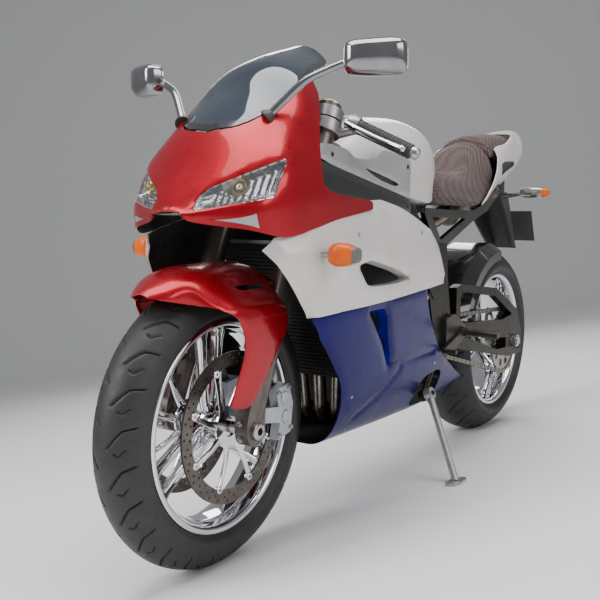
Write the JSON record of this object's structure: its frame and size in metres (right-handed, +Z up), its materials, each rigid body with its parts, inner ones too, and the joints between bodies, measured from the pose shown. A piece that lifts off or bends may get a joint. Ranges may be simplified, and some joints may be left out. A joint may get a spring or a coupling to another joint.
{
  "type": "sport motorcycle",
  "caption": "Faired litre-class sport motorcycle parked on its side stand, with turning wheels, a steering fork and a folding stand.",
  "frame": {"origin": "on the ground, at the middle of the parked bike's bounding box seen from above", "axes": "+X forward, +Y to the rider's left, +Z up; the bike leans ten degrees to +Y on its side stand"},
  "size_m": [2.0366, 0.7302, 1.1213],
  "materials": {
    "tyre_rubber": "moulded tread rubber",
    "wheel_chrome": "polished",
    "disc_steel": "ground and drilled",
    "sprocket_steel": "machined",
    "chain_steel": "oiled",
    "fork_bronze": "dark bronze anodised",
    "axle_steel": "machined",
    "yoke_metal": "satin",
    "grip_rubber": "ribbed",
    "caliper_metal": "satin cast",
    "red_paint": "pearl metallic, gloss",
    "frame_metal": "dark satin",
    "swingarm_bronze": "dark bronze, satin",
    "subframe_chrome": "dark polished",
    "stand_metal": "light grey",
    "engine_metal": "dark cast",
    "radiator_metal": "black core",
    "exhaust_steel": "brushed",
    "shock_steel": "dark spring",
    "white_paint": "warm white, satin",
    "silver_paint": "silver grey, satin",
    "blue_paint": "deep metallic blue, gloss",
    "seat_fabric": "woven, brown mauve",
    "red_lens": "translucent red",
    "orange_lens": "orange lens in a chrome housing",
    "black_plastic": "gloss black",
    "dark_plastic": "dark grain",
    "grey_plastic": "warm grey",
    "plate_plastic": "dark blank plate",
    "smoked_screen": "smoked, reflective",
    "lamp_glass": "clear over a chrome reflector",
    "mirror_housing": "dark chrome",
    "footrest_metal": "light grey"
  },
  "bodies": {
    "chassis": {"chain": "chain_steel", "duct_panel": "grey_plastic", "engine_block": "engine_metal", "exhaust": "exhaust_steel", "foot_levers": "footrest_metal", "footrests": "footrest_metal", "front_indicators": "orange_lens", "front_sprocket": "sprocket_steel", "fuel_tank": "white_paint", "headlights": "lamp_glass", "hugger": "black_plastic", "infill_panels": "black_plastic", "instrument_panel": "dark_plastic", "lower_fairing_left": "blue_paint", "lower_fairing_right": "blue_paint", "main_frame": "frame_metal", "mirrors": "mirror_housing", "number_plate": "plate_plastic", "pillion_seat": "seat_fabric", "radiator": "radiator_metal", "rear_axle": "axle_steel", "rear_caliper": "caliper_metal", "rear_indicators": "orange_lens", "rear_mudguard": "dark_plastic", "rear_shock": "shock_steel", "rider_seat": "seat_fabric", "side_fairing_left": "white_paint", "side_fairing_right": "white_paint", "subframe": "subframe_chrome", "swingarm": "swingarm_bronze", "tail_cowl": "white_paint", "tail_light": "red_lens", "tank_covers": "silver_paint", "upper_fairing": "red_paint", "windscreen": "smoked_screen"},
    "steering": {"fork_legs": "fork_bronze", "lower_yoke": "yoke_metal", "upper_yoke": "yoke_metal", "handlebars": "grip_rubber", "front_calipers": "caliper_metal", "front_fender": "red_paint", "front_axle": "axle_steel"},
    "front_wheel": {"front_tyre": "tyre_rubber", "front_rim": "wheel_chrome", "front_discs": "disc_steel"},
    "rear_wheel": {"rear_tyre": "tyre_rubber", "rear_rim": "wheel_chrome", "rear_disc": "disc_steel", "rear_sprocket": "sprocket_steel"},
    "side_stand": {"side_stand": "stand_metal"}
  },
  "joints": [
    {"name": "steering", "type": "hinge", "parent": "chassis", "child": "steering", "pos_m": [0.45808, -0.03416, 0.81231], "axis": [-0.4023, 0.1589, 0.9016], "range_deg": [-27, 27]},
    {"name": "front_wheel_spin", "type": "hinge", "parent": "steering", "child": "front_wheel", "pos_m": [0.71831, -0.12511, 0.29636], "axis": [-0.0001, 0.9848, -0.1736], "continuous": true},
    {"name": "rear_wheel_spin", "type": "hinge", "parent": "chassis", "child": "rear_wheel", "pos_m": [-0.69169, -0.1232, 0.30786], "axis": [-0.0001, 0.9848, -0.1736], "continuous": true},
    {"name": "side_stand_fold", "type": "hinge", "parent": "chassis", "child": "side_stand", "pos_m": [-0.01173, 0.02412, 0.22165], "axis": [0.0001, 0.9727, 0.2319], "range_deg": [0, 114.8]}
  ]
}
